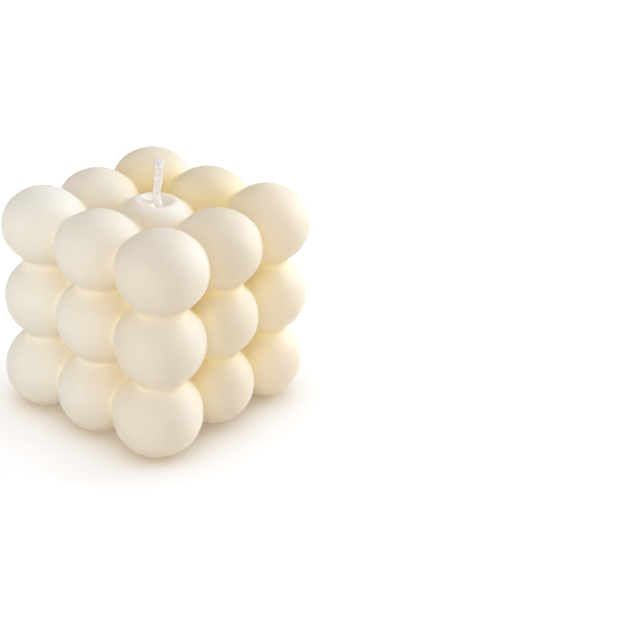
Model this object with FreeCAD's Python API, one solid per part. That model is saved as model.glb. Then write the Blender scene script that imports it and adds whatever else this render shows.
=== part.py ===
"""Moulded wax cube candle: a block of fused balls round one braided cotton wick.

Frame: +Z up, origin at the centre of the underside where the candle stands.
The corner that faces the viewer lies at +X -Y. All sizes are in millimetres.

candle_body: nine balls in each of three layers, fused where they run into each
    other. A core joins them, so each gap between four balls ends in a closed web
    at about the depth of the balls' centres. A narrow bevel bridges every crease.
wick: a round cord from just above the underside to its frayed, cupped cut end.
"""
import FreeCAD, Part
import math
import os

Vector = FreeCAD.Vector

# Balls of the block
ball_pitch = 19.2           # between the centres of neighbours
ball_swell = 1.2            # reach of each ball past the middle between two centres
top_settle = 0.9            # the top layer has settled towards the middle one
edge_sink = 0.65            # top balls between two corners, below the corner balls
centre_sink = 2.5           # top centre ball, below the corner balls
base_cut = 1.0              # depth of the fill plane into the lowest balls

# Webs between the balls
web_inset = 0.3             # webs behind the outer balls' centres
crease_bevel = 0.6          # reach of the bevel up each side of a crease
web_gap_share = 0.4         # most of a web's free half width that a bevel may take

# Sunken hollow round the wick
dimple_diameter = 8.6
dimple_depth = 1.8
dimple_floor_margin = 0.35  # flat ring between the wick and the hollow's slope
dimple_lip = 1.2            # round over the hollow's rim
dimple_foot = 0.5           # round where the slope meets the flat ring

# Wick
wick_diameter = 2.1
wick_recess = 0.4           # lower end above the standing plane
wick_upright = 3.0          # straight stretch above the hollow's floor
wick_slope_rise = 6.3       # height of the leaning stretch
wick_lean = 0.65            # how far the leaning stretch moves sideways
wick_lean_bearing = 35.0    # degrees from +X towards +Y
wick_tip_rise = 2.7         # height of the last stretch
wick_nod = 0.8              # how far the last stretch tips towards the viewer
wick_bend_radius = 7.0
wick_fray = 0.3             # spread of the cut end beyond the cord's side
wick_fray_length = 1.3
wick_cup_diameter = 1.0     # hollow core that shows in the cut end
wick_cup_depth = 0.5
wick_end_round = 0.3

ball_radius = ball_pitch / 2 + ball_swell
wick_radius = wick_diameter / 2
low_z = ball_radius - base_cut
middle_z = low_z + ball_pitch
top_z = middle_z + ball_pitch - top_settle
centre_ball_z = top_z - centre_sink


def ball_centres():
    """Centres of all balls, with the sunken ones of the top layer in place."""
    sinks = {2: 0.0, 1: edge_sink, 0: centre_sink}
    centres = []
    for ix in (-1, 0, 1):
        for iy in (-1, 0, 1):
            top_sink = sinks[abs(ix) + abs(iy)]
            for z in (low_z, middle_z, top_z - top_sink):
                centres.append(Vector(ix * ball_pitch, iy * ball_pitch, z))
    return centres


def creases(solid):
    """Edges where two different surfaces meet, without the seams of the balls."""
    found = []
    for edge in solid.Edges:
        sides = solid.ancestorsOfType(edge, Part.Face)
        if len(sides) == 2 and not sides[0].Surface.isSame(sides[1].Surface, 1e-6, 1e-6):
            found.append(edge)
    return found


def bevel_reach():
    """Reach of the crease bevels, kept clear of the middle of the narrowest web."""
    free_half_width = math.hypot(ball_pitch, ball_pitch - top_settle) / 2 - ball_radius
    return min(crease_bevel, web_gap_share * free_half_width)


def fused_balls():
    """The balls and their core as one solid with bridged creases."""
    seam_axis = Vector(1, 0.31, 0.17)
    balls = [Part.makeSphere(ball_radius, c, seam_axis) for c in ball_centres()]
    half = ball_pitch - web_inset
    core_low = low_z + web_inset
    core_high = top_z - edge_sink - web_inset
    corner = Vector(-half, -half, core_low)
    core = Part.makeBox(2 * half, 2 * half, core_high - core_low, corner)
    block = core.multiFuse(balls).removeSplitter().Solids[0]
    return block.makeChamfer(bevel_reach(), creases(block)).Solids[0]


def hollow_rim_z():
    """Height at which the hollow's rim lies on the top centre ball."""
    rim_radius = dimple_diameter / 2
    return centre_ball_z + math.sqrt(ball_radius ** 2 - rim_radius ** 2)


def hollow_floor_z():
    return hollow_rim_z() - dimple_depth


def on_circle(edge, radius):
    return isinstance(edge.Curve, Part.Circle) and abs(edge.Curve.Radius - radius) < 1e-3


def sink_hollow(body):
    """Cut the conical hollow round the wick and round its rim and foot."""
    rim_radius = dimple_diameter / 2
    floor_radius = wick_radius + dimple_floor_margin
    slope = (rim_radius - floor_radius) / dimple_depth
    reach = dimple_depth + ball_radius / 2
    cone = Part.makeCone(floor_radius, floor_radius + slope * reach, reach,
                         Vector(0, 0, hollow_floor_z()))
    body = body.cut(cone).Solids[0]
    high = [e for e in body.Edges if e.BoundBox.ZMin > hollow_floor_z() - 0.01]
    body = body.makeFillet(dimple_lip, [e for e in high if on_circle(e, rim_radius)])
    high = [e for e in body.Edges if e.BoundBox.ZMin > hollow_floor_z() - 0.01]
    return body.makeFillet(dimple_foot, [e for e in high if on_circle(e, floor_radius)])


def make_body():
    body = fused_balls()
    size = 4 * ball_pitch
    below = Part.makeBox(2 * size, 2 * size, size, Vector(-size, -size, -size))
    body = body.cut(below).Solids[0]
    body = sink_hollow(body).Solids[0]
    channel = Part.makeCylinder(wick_radius, hollow_floor_z() + 1, Vector(0, 0, 0))
    return body.cut(channel).Solids[0]


def wick_points():
    """Corners of the wick's centre line, before its bends are rounded."""
    bearing = math.radians(wick_lean_bearing)
    sideways = Vector(math.cos(bearing), math.sin(bearing), 0)
    forward = Vector(math.sin(bearing), -math.cos(bearing), 0)
    root = Vector(0, 0, wick_recess)
    upright_end = Vector(0, 0, hollow_floor_z() + wick_upright)
    slope_end = upright_end + sideways * wick_lean + Vector(0, 0, wick_slope_rise)
    tip = slope_end + forward * wick_nod + Vector(0, 0, wick_tip_rise)
    return [root, upright_end, slope_end, tip]


def rounded_path(points, wanted_radius):
    """Straight runs through the points, joined by tangent arcs that the runs have room for."""
    edges = []
    start = points[0]
    for before, corner, after in zip(points, points[1:], points[2:]):
        shorter_run = min((corner - before).Length, (after - corner).Length)
        u = (corner - before).normalize()
        v = (after - corner).normalize()
        turn = u.getAngle(v)
        radius = min(wanted_radius, 0.45 * shorter_run / math.tan(turn / 2))
        setback = radius * math.tan(turn / 2)
        arc_start = corner - u * setback
        arc_end = corner + v * setback
        inward = (v - u).normalize()
        arc_middle = corner + inward * (radius / math.cos(turn / 2) - radius)
        edges.append(Part.LineSegment(start, arc_start).toShape())
        edges.append(Part.Arc(arc_start, arc_middle, arc_end).toShape())
        start = arc_end
    edges.append(Part.LineSegment(start, points[-1]).toShape())
    return Part.Wire(edges)


def make_wick():
    """Round cord with a spread, cupped cut end."""
    points = wick_points()
    direction = (points[-1] - points[-2]).normalize()
    fray_start = points[-1] - direction * wick_fray_length
    path = rounded_path(points[:-1] + [fray_start], wick_bend_radius)
    circle = Part.Circle(points[0], Vector(0, 0, 1), wick_radius).toShape()
    cord = path.makePipeShell([Part.Wire(circle)], True, False)
    end_radius = wick_radius + wick_fray
    spread = Part.makeCone(wick_radius, end_radius, wick_fray_length, fray_start, direction)
    spread = spread.makeFillet(wick_end_round, [e for e in spread.Edges if on_circle(e, end_radius)])
    cup_floor = points[-1] - direction * wick_cup_depth
    cup = Part.makeCone(wick_cup_diameter / 4, wick_cup_diameter / 2, wick_cup_depth,
                        cup_floor, direction)
    return cord.fuse(spread).removeSplitter().cut(cup).Solids[0]


if __name__ == "__main__":
    os.makedirs("parts", exist_ok=True)
    for node, shape in (("candle_body", make_body()), ("wick", make_wick())):
        shape.exportStep("parts/" + node + ".step")
        print(node, "valid" if shape.isValid() else "not valid", round(shape.Volume, 1), "mm3")
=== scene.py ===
"""Cast wax cube candle with a braided cotton wick, dressed for the photograph's view.

Sizes of the wax and the wick are in millimetres until their points are set.
Sizes in the materials, the camera, the floor and the lamps are in metres.
"""
import math

import bpy
import bmesh
import numpy as np
from mathutils import Matrix, Vector


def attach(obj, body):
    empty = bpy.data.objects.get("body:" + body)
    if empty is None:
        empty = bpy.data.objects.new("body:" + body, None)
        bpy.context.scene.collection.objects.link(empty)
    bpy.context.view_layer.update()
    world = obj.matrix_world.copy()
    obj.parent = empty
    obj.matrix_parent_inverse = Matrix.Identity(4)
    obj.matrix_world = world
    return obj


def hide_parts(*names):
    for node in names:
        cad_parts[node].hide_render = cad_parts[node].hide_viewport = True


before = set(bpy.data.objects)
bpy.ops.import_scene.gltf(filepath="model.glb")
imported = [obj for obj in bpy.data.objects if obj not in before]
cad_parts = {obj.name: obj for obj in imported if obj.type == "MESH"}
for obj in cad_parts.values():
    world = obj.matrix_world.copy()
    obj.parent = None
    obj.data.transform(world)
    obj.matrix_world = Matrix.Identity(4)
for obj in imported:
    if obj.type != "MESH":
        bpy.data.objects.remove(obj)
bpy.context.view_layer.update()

MM = 0.001
TINY = 1e-9

# The block as it was cast
BALL_RADIUS = 10.8
BALL_PITCH = 19.2
LAYER_HEIGHTS = (9.76, 28.83, 47.52)
LAYER_SQUASH = (0.992, 0.958, 0.917)
EDGE_SINK = 0.65
CENTRE_SINK = 2.5
CORE_LOW = 10.1
CORE_HIGH = 46.35
WEB_INSET = 0.3
HALF_WIDTH = 30.0
COLUMN_NECK = 5.3
ROW_NECK = 4.3
CREASE_BLEND = 0.6
BASE_BLEND = 0.22

# How far single balls stand out of the even grid: x, y, z and growth of the radius
UNEVEN = {
    (1, -1, 2): (0.00, 0.23, -0.22, 0.01), (1, -1, 1): (-0.19, 0.02, 0.10, 0.02),
    (1, -1, 0): (-0.97, 0.03, 0.03, 0.05), (0, -1, 2): (-0.17, -0.14, 0.00, -0.41),
    (0, -1, 0): (-0.39, 0.00, -0.49, 0.02), (-1, -1, 2): (0.25, 0.31, -0.04, -0.49),
    (-1, -1, 1): (0.54, 0.33, -0.18, -0.19), (-1, -1, 0): (0.24, 0.01, -0.38, -0.01),
    (1, 0, 2): (0.17, 0.34, -0.05, -0.17), (1, 0, 1): (-0.12, -0.01, 0.12, -0.06),
    (1, 0, 0): (-0.35, 0.05, 0.56, -0.34), (1, 1, 2): (-0.01, 0.02, 0.20, -0.01),
    (1, 1, 1): (0.03, 0.03, -0.09, -0.02), (1, 1, 0): (-0.18, 0.05, 0.27, -0.20),
    (-1, 0, 2): (-0.23, -0.30, -0.02, -0.23), (-1, 1, 2): (0.04, -0.03, -0.17, -0.04),
    (0, 1, 2): (0.14, 0.01, 0.31, 0.00), (0, 0, 2): (-0.21, -0.12, 0.10, 0.04),
}

# The skin: its mesh, its even inset, and the slow waves as pairs of length and depth
SKIN_VOXEL = 0.61
SKIN_INSET = 0.02
STANDING_BAND = 0.8
SLOPE_STEP = 0.02
LEAST_SLOPE = 0.05
WAVES = ((17.0, 0.05), (11.0, 0.035), (7.0, 0.02), (4.5, 0.012))
WAVES_PER_LENGTH = 5
WAVE_DAMPING = 1.6

# The top of the middle ball, which the hollow and the melted wax keep to
TOP_REACH = 8.0
TOP_LOW = 50.0
FRONT_BEARING = -0.97

# The hollow round the wick
HOLLOW_FLOOR = 52.5
HOLLOW_RIM = 54.1
HOLLOW_RADIUS = 4.7
HOLLOW_FLOOR_RADIUS = 2.1
HOLLOW_SHIFT = 0.45
FLOOR_BLEND = 0.15
WALL_BLEND = 0.12
RIM_BLEND = 0.22
FINE_HEIGHT = HOLLOW_FLOOR + 1.5
FINE_REACHES = (6.5, 3.6)

# The fold slumped in from the left, the groove in front, and the wax drawn up the wick
FOLD_START = (-4.1, -1.75)
FOLD_END = (-0.2, -2.4)
FOLD_REACH = 1.45
FOLD_SHARPNESS = 6
FOLD_LOSS = 0.2
FOLD_RISE = 1.5
GROOVE_START = (-2.0, -3.65)
GROOVE_END = (3.2, -2.35)
GROOVE_REACH = 0.3
GROOVE_END_FADE = 6
GROOVE_DEPTH = 0.6
FOOT_PLACE = (-0.5, -0.35)
FOOT_RADIUS = 0.7
FOOT_FADE = 0.5
FOOT_RISE = 0.9

# Vertex attributes that place the painted glow and shadow in the creases: name, rank of the ball
# counted from the nearest, and reach
NEARNESS = (("crease", 1, 1.6), ("pocket", 3, 4.0))

# Painted light, paler than the wax round it: a painted highlight on the hollow's front lip and on
# its right slope, and painted light over its floor
LIP_RADIUS = 5.7
LIP_WIDTH = 1.1
LIP_TURN = 0.2
LIP_GAIN = 1.3
PALE_FADE = 0.8
SLOPE_RADIUS = 4.8
SLOPE_GAIN = 1.8
SLOPE_LOSS = 0.7
SLOPE_END = 11
PALE_FLOOR_RADIUS = 6.0
PALE_FLOOR_SHARE = 0.5


def ball_places():
    """Centre, radius and squash of every ball, kept inside the block's outer faces."""
    sinks = {2: 0.0, 1: EDGE_SINK, 0: CENTRE_SINK}
    places = []
    for ix in (-1, 0, 1):
        for iy in (-1, 0, 1):
            for layer, height in enumerate(LAYER_HEIGHTS):
                dx, dy, dz, swell = UNEVEN.get((ix, iy, layer), (0, 0, 0, 0))
                radius = BALL_RADIUS + swell
                reach = HALF_WIDTH - radius
                x = min(max(ix * BALL_PITCH + dx, -reach), reach)
                y = min(max(iy * BALL_PITCH + dy, -reach), reach)
                z = height + dz - (sinks[abs(ix) + abs(iy)] if layer == 2 else 0)
                places.append(((x, y, z), radius, LAYER_SQUASH[layer]))
    return places


BALLS = ball_places()


def soft_least(fields, blend):
    """Smooth union of distance fields."""
    least = fields.min(axis=0)
    return least - blend * np.log(np.exp((least - fields) / blend).sum(axis=0))


def soft_most(a, b, blend):
    """Smooth cut of two distance fields, or smooth greater of two heights."""
    return -soft_least(np.stack((-a, -b)), blend)


def ball_gap(points, centre, radius, squash):
    """Distance to a ball that is lower than wide."""
    away = (points - centre) / (1, 1, squash)
    length = np.linalg.norm(away, axis=1) + TINY
    steepness = np.linalg.norm(away / (1, 1, squash), axis=1) / length
    return (length - radius) / (steepness + TINY)


def ball_gaps(points):
    """Distances to all balls."""
    return np.stack([ball_gap(points, *ball) for ball in BALLS])


def neck_place(x, y, layer):
    """Even place of a ball, where a neck starts or ends."""
    sink = EDGE_SINK if layer == 2 and 0 in (x, y) else 0.0
    return np.array((x * BALL_PITCH, y * BALL_PITCH, LAYER_HEIGHTS[layer] - sink))


def neck_lines():
    """Axes and radii of the necks on the block's outside: columns, and rows of each face."""
    lines = [((x, y, 0), (x, y, 2), COLUMN_NECK) for x in (-1, 0, 1) for y in (-1, 0, 1) if x or y]
    for layer in (0, 1, 2):
        for across in (-1, 0, 1):
            if across or layer != 1:
                lines.append(((-1, across, layer), (1, across, layer), ROW_NECK))
                lines.append(((across, -1, layer), (across, 1, layer), ROW_NECK))
    return [(neck_place(*start), neck_place(*end), radius) for start, end, radius in lines]


NECKS = neck_lines()


def neck_gaps(points):
    """Distances to all necks."""
    gaps = []
    for start, end, radius in NECKS:
        way = end - start
        share = np.clip((points - start) @ way / (way @ way), 0, 1)
        gaps.append(np.linalg.norm(points - start - share[:, None] * way, axis=1) - radius)
    return np.stack(gaps)


def core_gap(points):
    """Distance to the core whose faces are the webs between the balls."""
    half = BALL_PITCH - WEB_INSET
    low = np.array((-half, -half, CORE_LOW))
    high = np.array((half, half, CORE_HIGH))
    beyond = np.abs(points - (low + high) / 2) - (high - low) / 2
    outside = np.linalg.norm(np.maximum(beyond, 0), axis=1)
    return outside + np.minimum(beyond.max(axis=1), 0)


def cast_gap(points):
    """Signed distance to the cast wax surface before its hollow."""
    fields = np.vstack((ball_gaps(points), neck_gaps(points), core_gap(points)[None]))
    body = soft_least(fields, CREASE_BLEND)
    return soft_most(body, -points[:, 2], BASE_BLEND)


def off_line(x, y, start, end):
    """Distance from a line between two places, and the share of the way along it."""
    way = np.subtract(end, start)
    share = np.clip(((x - start[0]) * way[0] + (y - start[1]) * way[1]) / (way @ way), 0, 1)
    return np.hypot(x - start[0] - share * way[0], y - start[1] - share * way[1]), share


def fold_share(x, y):
    """Nearness to the ridge of the slumped fold, 0 to 1."""
    off, share = off_line(x, y, FOLD_START, FOLD_END)
    return np.exp(-(off / FOLD_REACH) ** FOLD_SHARPNESS) * (1 - FOLD_LOSS * share)


def hollow_height(x, y):
    """Height of the hollow, with its fold, its groove and the wax drawn up the wick."""
    to_wick = np.hypot(x - FOOT_PLACE[0], y - FOOT_PLACE[1])
    foot = np.exp(-(np.maximum(to_wick - FOOT_RADIUS, 0) / FOOT_FADE) ** 2)
    rise = soft_most(FOLD_RISE * fold_share(x, y), FOOT_RISE * foot, FLOOR_BLEND)
    floor = HOLLOW_FLOOR + rise
    frontness = np.cos(np.arctan2(y, x) - FRONT_BEARING)
    from_axis = np.hypot(x, y) - HOLLOW_SHIFT * frontness
    steepness = (HOLLOW_RIM - HOLLOW_FLOOR) / (HOLLOW_RADIUS - HOLLOW_FLOOR_RADIUS)
    wall = HOLLOW_FLOOR + (from_axis - HOLLOW_FLOOR_RADIUS) * steepness
    off, share = off_line(x, y, GROOVE_START, GROOVE_END)
    ends = np.clip(np.minimum(share, 1 - share) * GROOVE_END_FADE, 0, 1)
    groove = np.exp(-(off / GROOVE_REACH) ** 2) * ends
    return soft_most(floor, wall, WALL_BLEND) - GROOVE_DEPTH * groove


def sink_hollow(points):
    """Lower the top of the middle ball straight down into the hollow."""
    top = (np.hypot(points[:, 0], points[:, 1]) < TOP_REACH) & (points[:, 2] > TOP_LOW)
    x, y, z = points[top].T
    points[top, 2] = soft_least(np.stack((z, hollow_height(x, y))), RIM_BLEND)


def slope_of(field, points):
    """Value and gradient of a distance field."""
    value = field(points)
    gradient = np.empty_like(points)
    for axis in range(3):
        shifted = points.copy()
        shifted[:, axis] += SLOPE_STEP
        gradient[:, axis] = (field(shifted) - value) / SLOPE_STEP
    return value, gradient


def casting_waves(points):
    """Slow unevenness of a hand-poured surface."""
    chance = np.random.default_rng(41)
    total = np.zeros(len(points))
    for length, depth in WAVES:
        for _ in range(WAVES_PER_LENGTH):
            way = chance.normal(size=3)
            way *= math.tau / length / np.linalg.norm(way)
            total += depth * np.sin(points @ way + chance.uniform(0, math.tau)) / WAVE_DAMPING
    return total


def get_points(mesh):
    """A mesh's points in millimetres."""
    points = np.empty(len(mesh.vertices) * 3)
    mesh.vertices.foreach_get("co", points)
    return points.reshape(-1, 3) / MM


def set_points(mesh, points):
    """Put a mesh's points at places given in millimetres."""
    mesh.vertices.foreach_set("co", (points * MM).ravel())
    mesh.update()


def settle(points):
    """Pull points onto the cast surface."""
    for fresh in (True, False, True, False):
        if fresh:
            value, gradient = slope_of(cast_gap, points)
            gradient /= np.maximum((gradient ** 2).sum(axis=1), LEAST_SLOPE)[:, None]
        else:
            value = cast_gap(points)
        points = points - gradient * value[:, None]
    return points


def new_object(name, mesh):
    """A visible piece that stands on the one body."""
    piece = bpy.data.objects.new(name, mesh)
    bpy.context.scene.collection.objects.link(piece)
    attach(piece, "root")
    return piece


def evaluated_mesh(name, data, voxel=None):
    """Mesh of a curve or of a rough mesh, remeshed if a voxel size is given."""
    holder = bpy.data.objects.new(name, data)
    bpy.context.scene.collection.objects.link(holder)
    if voxel:
        remesh = holder.modifiers.new("skin", "REMESH")
        remesh.mode = "VOXEL"
        remesh.voxel_size = voxel
    graph = bpy.context.evaluated_depsgraph_get()
    mesh = bpy.data.meshes.new_from_object(holder.evaluated_get(graph), depsgraph=graph)
    bpy.data.objects.remove(holder)
    return mesh


def rough_block():
    """Balls and core as loose overlapping meshes."""
    bm = bmesh.new()
    for centre, radius, squash in BALLS:
        place = Matrix.Translation(Vector(centre) * MM) @ Matrix.Diagonal((1, 1, squash, 1))
        bmesh.ops.create_icosphere(bm, subdivisions=4, radius=radius * MM, matrix=place)
    width = 2 * (BALL_PITCH - WEB_INSET)
    core = Matrix.Translation((0, 0, (CORE_LOW + CORE_HIGH) / 2 * MM)) @ Matrix.Diagonal(
        (width * MM, width * MM, (CORE_HIGH - CORE_LOW) * MM, 1))
    bmesh.ops.create_cube(bm, size=1, matrix=core)
    rough = bpy.data.meshes.new("wax_rough")
    bm.to_mesh(rough)
    bm.free()
    return rough


def make_wax():
    """Balls and core, remeshed to one skin that is drawn onto the blended surface."""
    mesh = evaluated_mesh("wax_rough", rough_block(), SKIN_VOXEL * MM)
    refine_hollow(mesh)
    points = settle(get_points(mesh))
    gradient = slope_of(cast_gap, points)[1]
    gradient /= np.linalg.norm(gradient, axis=1)[:, None]
    # the skin only moves inward, and the standing flats keep their place
    inside = np.minimum(casting_waves(points), 0.0) - SKIN_INSET
    keep = np.clip(points[:, 2] / STANDING_BAND, 0, 1)
    points += gradient * (inside * keep)[:, None]
    points[:, 2] = np.maximum(points[:, 2], 0)
    sink_hollow(points)
    mark_creases(mesh, points)
    set_points(mesh, points)
    mesh.shade_smooth()
    mesh.name = "cast_wax"
    wax = new_object("cast_wax", mesh)
    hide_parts("candle_body")
    return wax


def refine_hollow(mesh):
    """Finer faces where the wick leaves the wax."""
    bm = bmesh.new()
    bm.from_mesh(mesh)
    top = Vector((0, 0, FINE_HEIGHT * MM))
    for reach in FINE_REACHES:
        near = [e for e in bm.edges if all((v.co - top).length < reach * MM for v in e.verts)]
        bmesh.ops.subdivide_edges(bm, edges=near, cuts=1, use_grid_fill=True)
    bmesh.ops.triangulate(bm, faces=[f for f in bm.faces if len(f.verts) > 4])
    bm.to_mesh(mesh)
    bm.free()


def melted_share(x, y):
    """Share of painted light on the hollow's lip, slope and floor, 0 to 1: a painted highlight on
    the lip and slope, painted light over the floor.
    """
    bearing, from_axis = np.arctan2(y, x), np.hypot(x, y)
    lip = np.exp(-((from_axis - LIP_RADIUS) / LIP_WIDTH) ** 2)
    lip = lip * np.clip(np.cos(bearing - FRONT_BEARING - LIP_TURN) * LIP_GAIN, 0, 1)
    slope = np.clip((from_axis - SLOPE_RADIUS) / PALE_FADE, 0, 1)
    slope = slope * np.clip(np.cos(bearing) * SLOPE_GAIN - SLOPE_LOSS, 0, 1)
    outer = np.where(from_axis < SLOPE_END, np.maximum(lip, slope), 0)
    floor = PALE_FLOOR_SHARE * np.clip((PALE_FLOOR_RADIUS - from_axis) / PALE_FADE, 0, 1)
    return np.maximum(outer, floor)


def add_attribute(mesh, name, values):
    """Store one number for every point of a mesh."""
    layer = mesh.attributes.new(name, "FLOAT", "POINT")
    layer.data.foreach_set("value", values)


def mark_creases(mesh, points):
    """Attributes for the wax: nearness of the second and fourth ball, and the share of painted
    light round the hollow.
    """
    gaps = np.sort(ball_gaps(points), axis=0)
    for name, rank, reach in NEARNESS:
        add_attribute(mesh, name, np.exp(-np.maximum(gaps[rank], 0) / reach))
    x, y, z = points.T
    # painted highlight on the lit ridge of the fold, the lip and the slope, and painted light over
    # the hollow's floor, kept in the attribute pale
    pale = np.maximum(fold_share(x, y), melted_share(x, y))
    add_attribute(mesh, "pale", np.where(z > TOP_LOW, pale, 0))


class Net:
    """A material's node tree, with a method for each kind of node that repeats."""

    def __init__(self, name):
        self.material = bpy.data.materials.new(name)
        self.material.use_nodes = True
        self.tree = self.material.node_tree
        self.tree.nodes.clear()

    def node(self, kind, settings=None, out=0, **values):
        """A node with its settings and inputs; an input is a name, or its number after _."""
        made = self.tree.nodes.new(kind)
        for key, value in (settings or {}).items():
            setattr(made, key, value)
        for key, value in values.items():
            numbered = key[0] == "_" and key[1:].isdigit()
            place = int(key[1:]) if numbered else key.replace("_", " ")
            self.feed(made.inputs[place], value)
        return Wire(self, made.outputs[out])

    def feed(self, socket, value):
        """Link a wire to an input, or set a number, a vector or a colour on it."""
        if isinstance(value, Wire):
            self.tree.links.new(value.socket, socket)
        elif socket.type == "RGBA":
            socket.default_value = (*value, 1.0)
        else:
            socket.default_value = value

    def mix(self, share, a, b, blend="MIX"):
        """Mix two colours."""
        return self.node("ShaderNodeMix", {"data_type": "RGBA", "blend_type": blend}, 2,
                         _0=share, _6=a, _7=b)

    def noise(self, where, scale, detail=2.0, roughness=0.5):
        return self.node("ShaderNodeTexNoise", Vector=where, Scale=scale,
                         Detail=detail, Roughness=roughness)

    def ramp(self, stops, share):
        """Colours along a number from 0 to 1."""
        colour = self.node("ShaderNodeValToRGB", out="Color", Fac=share)
        elements = colour.socket.node.color_ramp.elements
        while len(elements) < len(stops):
            elements.new(0.5)
        for element, (position, shade) in zip(elements, stops):
            element.position = position
            element.color = (*shade, 1.0)
        return colour

    def attribute(self, name):
        return self.node("ShaderNodeAttribute", {"attribute_name": name}, "Fac")

    def along(self, where, way, span):
        """Way along a level direction, in lengths of the span."""
        return self.node("ShaderNodeVectorMath", {"operation": "DOT_PRODUCT"}, "Value",
                         _0=where, _1=(way[0] / span, way[1] / span, 0.0))

    def ray(self, kind):
        return self.node("ShaderNodeLightPath", None, kind)

    def surface(self, shader):
        """The material, once its shader is given."""
        end = self.tree.nodes.new("ShaderNodeOutputMaterial")
        self.tree.links.new(shader.socket, end.inputs["Surface"])
        return self.material


class Wire:
    """A socket that takes part in sums."""

    def __init__(self, net, socket):
        self.net = net
        self.socket = socket

    def work(self, operation, *values):
        inputs = {"_" + str(i): v for i, v in enumerate(values)}
        return self.net.node("ShaderNodeMath", {"operation": operation}, **inputs)

    def __add__(self, other):
        return self.work("ADD", self, other)

    def __radd__(self, other):
        return self.work("ADD", other, self)

    def __sub__(self, other):
        return self.work("SUBTRACT", self, other)

    def __rsub__(self, other):
        return self.work("SUBTRACT", other, self)

    def __mul__(self, other):
        return self.work("MULTIPLY", self, other)

    def __rmul__(self, other):
        return self.work("MULTIPLY", other, self)

    def __truediv__(self, other):
        return self.work("DIVIDE", self, other)

    def clamped(self):
        return self.work("MAXIMUM", self.work("MINIMUM", self, 1.0), 0.0)


# Colours of the wax, as linear colours, from its left side to its right: the cream of the wax with
# a painted warm glow that turns it more orange towards the right
WAX_AND_PAINTED_GLOW_COLOURS = (
    (0.0, (1.0, 0.938, 0.85)), (0.22, (0.96, 0.852, 0.735)), (0.43, (0.922, 0.815, 0.695)),
    (0.55, (0.965, 0.842, 0.7)), (0.72, (0.885, 0.757, 0.615)), (1.0, (0.99, 0.833, 0.66)),
)
# Painted glow in the creases and pockets, as linear colours, warmer towards the right
CREASE_PAINTED_GLOW = (
    (0.0, (0.93, 0.84, 0.68)), (0.4, (0.94, 0.815, 0.57)),
    (0.6, (1.0, 0.83, 0.45)), (1.0, (1.0, 0.84, 0.42)),
)
# Painted golden glow at the back of the top layer
BACK_PAINTED_GLOW = (1.0, 0.81, 0.5)
# Painted light round the hollow, paler than the wax
PAINTED_LIGHT_SHADE = (1.0, 0.935, 0.925)
# Painted shadow in the tightest creases
CREASE_PAINTED_SHADOW = (0.86, 0.86, 0.87)
# Painted shade at the foot of the wax, slightly warmer
FOOT_PAINTED_SHADE = (1.0, 1.0, 0.97)
CREASE_GLOW_SHARE = 0.5
POCKET_GLOW_SHARE = 2.3
POCKET_SHADOW_LOSS = 1.5
CLOUD_SHARE = 0.2

# Where the painted warm glow grows from the left to the right, and how high the painted shade at
# the foot reaches
GLOW_SIDE_WAY = (0.6, 0.8)
GLOW_SIDE_SPAN = 0.054
PAINTED_FOOT_SHADE_HEIGHT = 0.009

# Where the back of the top layer gets a painted golden glow: each limit counts in lengths of its
# fade
BACK_WAY = (-0.35, 0.94)
BACK_FADE = 0.006
BACK_START = 0.5
BACK_END = 4.6
BACK_RIGHT = 4.0
GLOW_TOP = 6.2
GLOW_TOP_FADE = 0.0095
GLOW_LOW = 4.75
GLOW_LOW_FADE = 0.008


def back_tint(net, where, height):
    """Share of the painted golden glow on the balls at the back of the top layer."""
    backness = net.along(where, BACK_WAY, BACK_FADE)
    band = (GLOW_TOP - height / GLOW_TOP_FADE).clamped()
    band = band * (height / GLOW_LOW_FADE - GLOW_LOW).clamped()
    sideways = net.node("ShaderNodeSeparateXYZ", None, "X", Vector=where)
    behind = (backness - BACK_START).clamped() * (BACK_END - backness).clamped()
    behind = behind * (BACK_RIGHT - sideways / BACK_FADE).clamped()
    return band * behind


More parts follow.
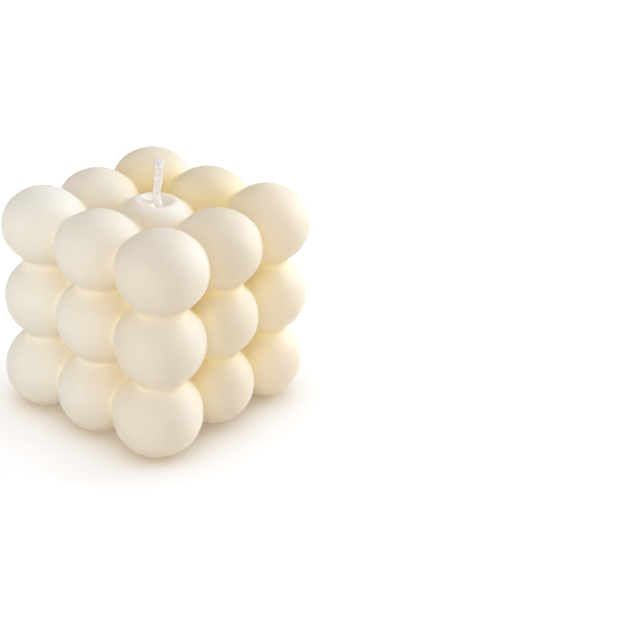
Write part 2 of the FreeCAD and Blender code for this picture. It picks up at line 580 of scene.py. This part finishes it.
def wax_material():
    """Cream wax, clouded, with painted glow: warmer towards one side, golden at the back and in
    the creases; painted shadow in the tightest creases, painted shade at the foot and painted
    light round the hollow.
    """
    net = Net("cream_wax")
    where = net.node("ShaderNodeTexCoord", None, "Object")
    height = net.node("ShaderNodeSeparateXYZ", None, "Z", Vector=where)
    # painted glow: the wax is warmer towards the right, where light shines through it
    painted_glow_side = (net.along(where, GLOW_SIDE_WAY, GLOW_SIDE_SPAN) + 0.5).clamped()
    clouds = net.noise(where, 90.0, 3.0, 0.55)
    crease = net.attribute("crease")
    pocket = net.attribute("pocket")
    body = net.ramp(WAX_AND_PAINTED_GLOW_COLOURS, painted_glow_side + (clouds - 0.5) * CLOUD_SHARE)
    # painted glow: golden on the lower parts of the balls at the back of the top layer
    body = net.mix(back_tint(net, where, height), body, BACK_PAINTED_GLOW)
    # painted highlight on the fold, the hollow's lip and its right slope, and painted light over
    # the hollow's floor
    body = net.mix(net.attribute("pale"), body, PAINTED_LIGHT_SHADE)
    # painted glow: creases and pockets turn a warm yellow, as if light glows through the wax there
    painted_crease_glow = net.ramp(CREASE_PAINTED_GLOW, painted_glow_side)
    crease_glow_share = (crease * CREASE_GLOW_SHARE + pocket * POCKET_GLOW_SHARE).clamped()
    colour = net.mix(crease_glow_share, body, painted_crease_glow)
    # painted shadow: the tightest creases are darkened, less so in the pockets
    crease_shadow_share = (crease * crease * crease - pocket * POCKET_SHADOW_LOSS).clamped()
    colour = net.mix(crease_shadow_share, colour, CREASE_PAINTED_SHADOW, "MULTIPLY")
    # painted shade: the wax loses a little blue towards the bottom, near the floor
    foot = (1.0 - height / PAINTED_FOOT_SHADE_HEIGHT).clamped()
    colour = net.mix(foot, colour, FOOT_PAINTED_SHADE, "MULTIPLY")
    relief = net.noise(where, 900.0, 4.0, 0.6) * 0.35 + net.noise(where, 260.0)
    bump = net.node("ShaderNodeBump", Strength=0.12, Distance=0.0004, Height=relief)
    shader = net.node("ShaderNodeBsdfPrincipled", {"subsurface_method": "BURLEY"},
                      Base_Color=colour, Roughness=0.46 + clouds * 0.1, IOR=1.44,
                      Subsurface_Weight=1.0, Subsurface_Radius=(1.0, 0.62, 0.32),
                      Subsurface_Scale=0.002, Sheen_Weight=0.06, Sheen_Roughness=0.2,
                      Normal=bump)
    return net.surface(shader)


def cotton_material():
    """Waxed white cotton with a fine fibre relief."""
    net = Net("waxed_cotton")
    where = net.node("ShaderNodeTexCoord", None, "Object")
    fibres = net.noise(where, 2600.0, 3.0, 0.6)
    tone = net.noise(where, 500.0)
    colour = net.mix(tone, (0.99, 0.925, 0.9), (1.0, 0.955, 0.93))
    bump = net.node("ShaderNodeBump", Strength=0.35, Distance=0.0001, Height=fibres)
    shader = net.node("ShaderNodeBsdfPrincipled",
                      Base_Color=colour, Roughness=0.6 + tone * 0.15, IOR=1.45,
                      Sheen_Weight=0.8, Sheen_Roughness=0.6, Normal=bump)
    return net.surface(shader)


# The wick: its middle line, its plait and its yarns
WICK_ROUTE = (
    (0, 0, 0.45), (0, 0, 20.0), (0, 0, 44.0), (0.5, -0.45, 50.0), (1.0, -0.7, 52.0),
    (0.36, -0.12, 53.6), (-0.06, -0.06, 55.4), (0.10, 0.07, 57.4), (0.40, 0.27, 60.0),
    (0.58, 0.38, 61.6), (0.78, 0.0, 62.9), (1.16, -0.55, 63.8),
)
WICK_STEPS = 640
WICK_FACING = 34.3
STRANDS = 3
PLAIT_LENGTH = 5.5
PLAIT_START = 0.9
STRAND_SIDE = 0.50
STRAND_DEPTH = 0.30
YARNS_PER_STRAND = 5
YARN_OFFSET = 0.225
YARN_RADIUS = 0.27
YARN_TWIST = 4.2
YARN_CAP_GAP = 1e-7

# The wick swells where it leaves the wax, and opens into a ring at its cut end
SWELL_HEIGHT = 52.8
SWELL_REACH = 1.6
SWELL_SHARE = 0.12
KNOB_LENGTH = 2.2
KNOB_SWELL = 0.75
ROUNDING_LENGTH = 0.4
ROUNDING_SHARE = 0.9
RING_RADIUS = 1.0
RING_FLARE = 0.12
RING_SIDE = 0.93
RING_FRONT = 1.05
RING_START = 0.4
RING_CHANCE = (0.94, 1.06)


def outward(azimuth, elevation):
    """Direction from the candle, in degrees; azimuth 0 looks from the -Y side."""
    azimuth, elevation = math.radians(azimuth), math.radians(elevation)
    return (math.sin(azimuth) * math.cos(elevation),
            -math.cos(azimuth) * math.cos(elevation), math.sin(elevation))


def new_curve(name):
    curve = bpy.data.curves.new(name, "CURVE")
    curve.dimensions = "3D"
    return curve


def wick_line(count):
    """Points along the wick's smooth middle line, with a direction and the length at each."""
    curve = new_curve("wick_route")
    curve.resolution_u = 48
    spline = curve.splines.new("NURBS")
    spline.points.add(len(WICK_ROUTE) - 1)
    for point, place in zip(spline.points, WICK_ROUTE):
        point.co = (*place, 1)
    spline.order_u = 3
    spline.use_endpoint_u = True
    line = np.array([v.co for v in evaluated_mesh("wick_route", curve).vertices])
    lengths = np.concatenate(((0,), np.cumsum(np.linalg.norm(np.diff(line, axis=0), axis=1))))
    even = np.linspace(0, lengths[-1], count)
    places = np.stack([np.interp(even, lengths, line[:, axis]) for axis in range(3)], axis=1)
    ways = np.gradient(places, axis=0)
    ways /= np.linalg.norm(ways, axis=1)[:, None]
    return places, ways, even


def add_cord(curve, line, radii):
    """One round yarn along a line."""
    spline = curve.splines.new("POLY")
    spline.points.add(len(line) - 1)
    spline.points.foreach_set("co", np.column_stack((line * MM, np.ones(len(line)))).ravel())
    spline.points.foreach_set("radius", radii)


def ring_place(strand, yarn, turn):
    """Angle of a yarn in the open ring, in the order in which it leaves its strand."""
    others = math.tau * (np.arange(YARNS_PER_STRAND) - yarn) / YARNS_PER_STRAND
    rank = np.argsort(np.argsort(np.cos(turn - math.pi / 2 + others)))[yarn]
    offset = (rank - YARNS_PER_STRAND // 2) / (STRANDS * YARNS_PER_STRAND)
    return math.tau * (strand / STRANDS + offset) + RING_START


def weld_caps(mesh):
    """Join the caps of the yarns to their sides."""
    bm = bmesh.new()
    bm.from_mesh(mesh)
    bmesh.ops.remove_doubles(bm, verts=bm.verts, dist=YARN_CAP_GAP)
    bm.to_mesh(mesh)
    bm.free()


def make_wick():
    """Three plaited strands, each a bundle of twisted yarns, that open at the cut end."""
    places, ways, along = wick_line(WICK_STEPS)
    side = np.cross(outward(WICK_FACING, 0), ways)
    side /= np.linalg.norm(side, axis=1)[:, None]
    front = np.cross(ways, side)
    to_end = along[-1] - along
    knob = np.clip(1 - to_end / KNOB_LENGTH, 0, 1)
    knob = knob * knob * (3 - 2 * knob)
    near_end = np.clip(1 - to_end / ROUNDING_LENGTH, 0, 1)
    rounding = np.sqrt(1 - near_end ** 2 * ROUNDING_SHARE)
    swell = 1 + SWELL_SHARE * np.exp(-((places[:, 2] - SWELL_HEIGHT) / SWELL_REACH) ** 2)
    radii = YARN_RADIUS * swell * (1 + KNOB_SWELL * knob) * rounding
    chance = np.random.default_rng(7)
    curve = new_curve("wick_strands")
    curve.bevel_depth = MM
    curve.bevel_resolution = 2
    curve.use_fill_caps = True
    for strand in range(STRANDS):
        turn = math.tau * (along / PLAIT_LENGTH + strand / STRANDS) + PLAIT_START
        across, depth = STRAND_SIDE * np.sin(turn), STRAND_DEPTH * np.sin(2 * turn)
        middle = math.atan2(depth[-1], across[-1])
        for yarn in range(YARNS_PER_STRAND):
            twist = math.tau * (along / YARN_TWIST + yarn / YARNS_PER_STRAND) + strand
            dx = (across + YARN_OFFSET * np.cos(twist)) * swell
            dy = (depth + YARN_OFFSET * np.sin(twist)) * swell
            place = ring_place(strand, yarn, twist[-1] - middle)
            ring = RING_RADIUS * (1 + RING_FLARE * (1 - rounding)) * chance.uniform(*RING_CHANCE)
            dx = dx * (1 - knob) + ring * math.cos(place) * RING_SIDE * knob
            dy = dy * (1 - knob) + ring * math.sin(place) * RING_FRONT * knob
            cut = len(along) - int(chance.integers(0, 3))
            line = places + side * dx[:, None] + front * dy[:, None]
            add_cord(curve, line[:cut], radii[:cut])
    mesh = evaluated_mesh("wick_strands", curve)
    weld_caps(mesh)
    mesh.name = "braided_wick"
    mesh.shade_smooth()
    wick = new_object("braided_wick", mesh)
    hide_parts("wick")
    return wick


# The view of the photograph: degrees, metres and pixels of its 640-pixel frame
VIEW_AZIMUTH = 34.343
VIEW_ELEVATION = 27.067
VIEW_ROLL = 3.917
VIEW_DISTANCE = 0.31308
VIEW_ASIDE = (0.04106, -0.00701)
VIEW_TARGET = (0, 0, 0.029)
FOCAL_PIXELS = 1246.23
FRAME_PIXELS = 640
SENSOR_WIDTH = 36


def make_camera():
    """The photograph's view."""
    azimuth, roll = math.radians(VIEW_AZIMUTH), math.radians(VIEW_ROLL)
    back = Vector(outward(VIEW_AZIMUTH, VIEW_ELEVATION))
    level = Vector((math.cos(azimuth), math.sin(azimuth), 0))
    rise = back.cross(level)
    right = level * math.cos(roll) + rise * math.sin(roll)
    up = rise * math.cos(roll) - level * math.sin(roll)
    data = bpy.data.cameras.new("view")
    data.sensor_width = SENSOR_WIDTH
    data.lens = SENSOR_WIDTH * FOCAL_PIXELS / FRAME_PIXELS
    data.clip_start = 0.01
    camera = bpy.data.objects.new("view", data)
    turn = Matrix((right, up, back)).transposed().to_4x4()
    place = Vector(VIEW_TARGET) + back * VIEW_DISTANCE + right * VIEW_ASIDE[0] + up * VIEW_ASIDE[1]
    camera.matrix_world = Matrix.Translation(place) @ turn
    bpy.context.scene.collection.objects.link(camera)
    bpy.context.scene.camera = camera


# Square soft lamps: name, azimuth and elevation in degrees as for the view, watts, colour
LAMP_DISTANCE = 1.2
LAMP_SIZE = 0.8
LAMPS = (
    ("window", 154, 24, 12.58, (0.76, 0.87, 1.0)),
    ("far_window", 200, 36, 1.62, (1, 1, 1)),
    ("front", 34, 22, 4.1, (0.99, 1.0, 0.95)),
    ("side", 334, 20, 3.05, (0.96, 1.0, 1.0)),
    ("ceiling", 0, 90, 1.24, (1, 1, 1)),
)


def make_lamps():
    """Soft lamps aimed at the candle."""
    for name, azimuth, elevation, watts, colour in LAMPS:
        away = Vector(outward(azimuth, elevation))
        data = bpy.data.lights.new(name, "AREA")
        data.size = LAMP_SIZE
        data.energy = watts
        data.color = colour
        lamp = bpy.data.objects.new(name, data)
        lamp.location = Vector(VIEW_TARGET) + away * LAMP_DISTANCE
        lamp.rotation_euler = away.to_track_quat("Z", "Y").to_euler()
        bpy.context.scene.collection.objects.link(lamp)


# The floor and the light all round
FLOOR_HALF_SIZE = 3.0
FLOOR_PAINT = (0.82, 0.78, 0.72)
FLOOR_PAINT_SEEN = (0.25, 0.25, 0.25)
# The floor's glow along its ambient occlusion, as linear colours: a painted warm contact shadow
# near the candle
FLOOR_PAINTED_SHADOW = (
    (0.15, (0.399, 0.306, 0.201)), (0.3, (0.475, 0.386, 0.276)), (0.4, (0.565, 0.483, 0.387)),
    (0.5, (0.627, 0.565, 0.487)), (0.6, (0.696, 0.643, 0.588)), (0.7, (0.736, 0.706, 0.672)),
    (0.8, (0.772, 0.743, 0.73)), (0.9, (0.81, 0.788, 0.78)), (1.0, (0.84, 0.84, 0.84)),
)
SHADOW_REACH = 0.02
WORLD_COLOUR = (1.0, 1.0, 0.97, 1)
WORLD_STRENGTH = 0.319


def floor_material():
    """Pale paint that is white to the camera where it is lit, with a painted soft shadow: the glow
    seen by the camera darkens with ambient occlusion near the candle, and a little real shadow
    stays.
    """
    net = Net("pale_floor")
    seen = net.ray("Is Camera Ray")
    paint = net.node("ShaderNodeBsdfDiffuse", Color=net.mix(seen, FLOOR_PAINT, FLOOR_PAINT_SEEN))
    open_sky = net.node("ShaderNodeAmbientOcclusion", {"samples": 12}, 1, Distance=SHADOW_REACH)
    shown = (seen + net.ray("Is Glossy Ray") + net.ray("Is Transmission Ray")).clamped()
    # painted shadow: the glow darkens and warms where the candle hides the sky
    glow_and_painted_shadow = net.node("ShaderNodeEmission", Color=net.ramp(FLOOR_PAINTED_SHADOW, open_sky), Strength=shown)
    return net.surface(net.node("ShaderNodeAddShader", _0=paint, _1=glow_and_painted_shadow))


def make_stage():
    """The floor under the candle."""
    bm = bmesh.new()
    bmesh.ops.create_grid(bm, x_segments=1, y_segments=1, size=FLOOR_HALF_SIZE)
    mesh = bpy.data.meshes.new("floor")
    bm.to_mesh(mesh)
    bm.free()
    floor = bpy.data.objects.new("floor", mesh)
    bpy.context.scene.collection.objects.link(floor)
    mesh.materials.append(floor_material())


def make_world():
    """Even light from all round."""
    world = bpy.data.worlds.new("studio")
    bpy.context.scene.world = world
    world.use_nodes = True
    back = world.node_tree.nodes["Background"]
    back.inputs["Color"].default_value = WORLD_COLOUR
    back.inputs["Strength"].default_value = WORLD_STRENGTH


wax = make_wax()
wax.data.materials.append(wax_material())
wick = make_wick()
wick.data.materials.append(cotton_material())
make_camera()
make_stage()
make_world()
make_lamps()
bpy.context.scene.view_settings.view_transform = "Standard"
